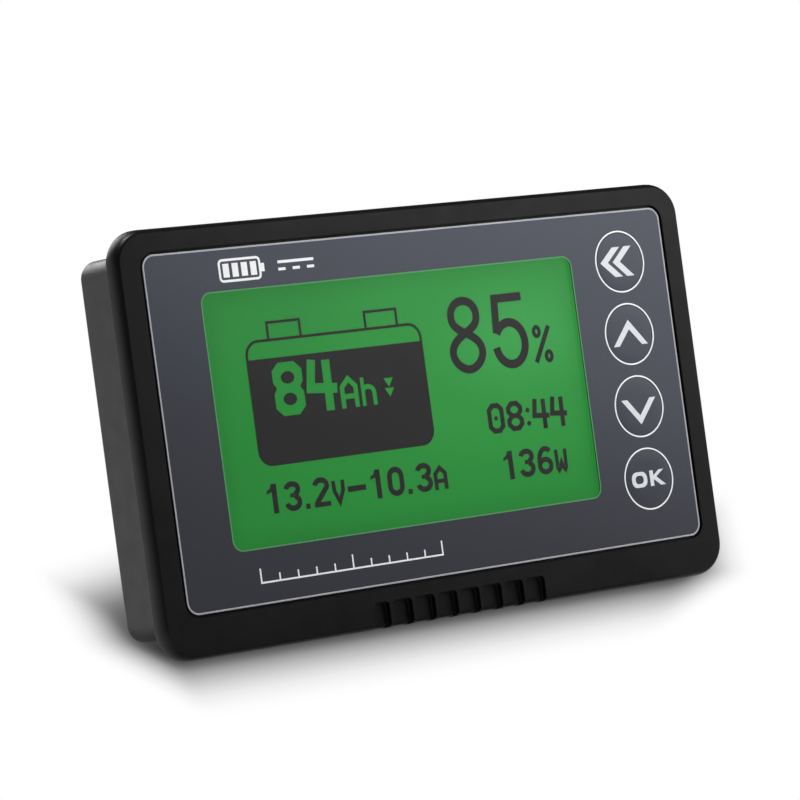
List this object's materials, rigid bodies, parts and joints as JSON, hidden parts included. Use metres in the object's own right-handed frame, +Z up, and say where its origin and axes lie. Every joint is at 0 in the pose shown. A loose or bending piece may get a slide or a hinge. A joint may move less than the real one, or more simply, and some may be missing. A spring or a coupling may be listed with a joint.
{
  "type": "battery monitor display head",
  "caption": "Flush-mount display for a battery monitor: backlit LCD behind a window, sprung front keys, a grip-notched bezel and a screwed rear housing with a cable socket.",
  "frame": {"origin": "under the middle of the bounding box, on the surface the display stands on", "axes": "+X to the viewer's right across the face, +Y from the face to the rear, +Z up"},
  "size_m": [0.0984, 0.0148, 0.0586],
  "materials": {
    "bezel_plastic": "satin moulded black ABS with a very fine texture",
    "housing_plastic": "satin moulded charcoal ABS",
    "faceplate_print": "slate print behind clear film, lighter towards the top",
    "key_print": "the same slate print as the faceplate",
    "print_white": "white screen print for rings, symbols and border line",
    "window_clear": "clear polished acrylic",
    "lcd_panel": "green backlit liquid-crystal panel",
    "lcd_segment": "switched-on liquid-crystal segment, nearly black",
    "light_guide": "frosted light guide",
    "white_plastic": "white reflective moulding",
    "strip_rubber": "layered conductive silicone",
    "board_laminate": "green solder mask over glass-fibre laminate",
    "chip_epoxy": "moulded epoxy package",
    "socket_nylon": "natural nylon",
    "can_metal": "drawn can",
    "ferrite": "pressed ferrite",
    "pin_brass": "plated square pin",
    "screw_steel": "zinc-plated pan-head screw",
    "label_film": "blank satin film label"
  },
  "bodies": {
    "housing": {"front_bezel": "bezel_plastic", "faceplate": "faceplate_print", "window_lens": "window_clear", "lcd_glass": "lcd_panel", "backlight_guide": "light_guide", "lcd_contact_strip": "strip_rubber", "lcd_frame": "white_plastic", "main_board": "board_laminate", "cable_socket": "socket_nylon", "rear_housing": "housing_plastic", "rating_label": "label_film", "microcontroller": "chip_epoxy", "bus_transceiver": "chip_epoxy", "memory_chip": "chip_epoxy", "voltage_regulator": "chip_epoxy", "capacitor_in": "can_metal", "capacitor_out": "can_metal", "power_inductor": "ferrite", "crystal": "can_metal", "alarm_buzzer": "chip_epoxy", "switch_body_ok": "chip_epoxy", "switch_body_down": "chip_epoxy", "switch_body_up": "chip_epoxy", "switch_body_back": "chip_epoxy", "socket_pin_1": "pin_brass", "case_screw_1": "screw_steel", "socket_pin_2": "pin_brass", "case_screw_2": "screw_steel", "socket_pin_3": "pin_brass", "case_screw_3": "screw_steel", "socket_pin_4": "pin_brass", "case_screw_4": "screw_steel", "board_screw_1": "screw_steel", "board_screw_2": "screw_steel", "backlight_lamp_1": "white_plastic", "backlight_lamp_2": "white_plastic", "backlight_lamp_3": "white_plastic"},
    "ok_key": {"key_ok": "key_print", "switch_plunger_ok": "socket_nylon"},
    "down_key": {"key_down": "key_print", "switch_plunger_down": "socket_nylon"},
    "up_key": {"key_up": "key_print", "switch_plunger_up": "socket_nylon"},
    "back_key": {"key_back": "key_print", "switch_plunger_back": "socket_nylon"}
  },
  "joints": [
    {"name": "ok_key_press", "type": "slide", "parent": "housing", "child": "ok_key", "axis": [0, 1, 0], "range_m": [0, 0.00035], "stiffness_N_per_m": 4500},
    {"name": "down_key_press", "type": "slide", "parent": "housing", "child": "down_key", "axis": [0, 1, 0], "range_m": [0, 0.00035], "stiffness_N_per_m": 4500},
    {"name": "up_key_press", "type": "slide", "parent": "housing", "child": "up_key", "axis": [0, 1, 0], "range_m": [0, 0.00035], "stiffness_N_per_m": 4500},
    {"name": "back_key_press", "type": "slide", "parent": "housing", "child": "back_key", "axis": [0, 1, 0], "range_m": [0, 0.00035], "stiffness_N_per_m": 4500}
  ]
}
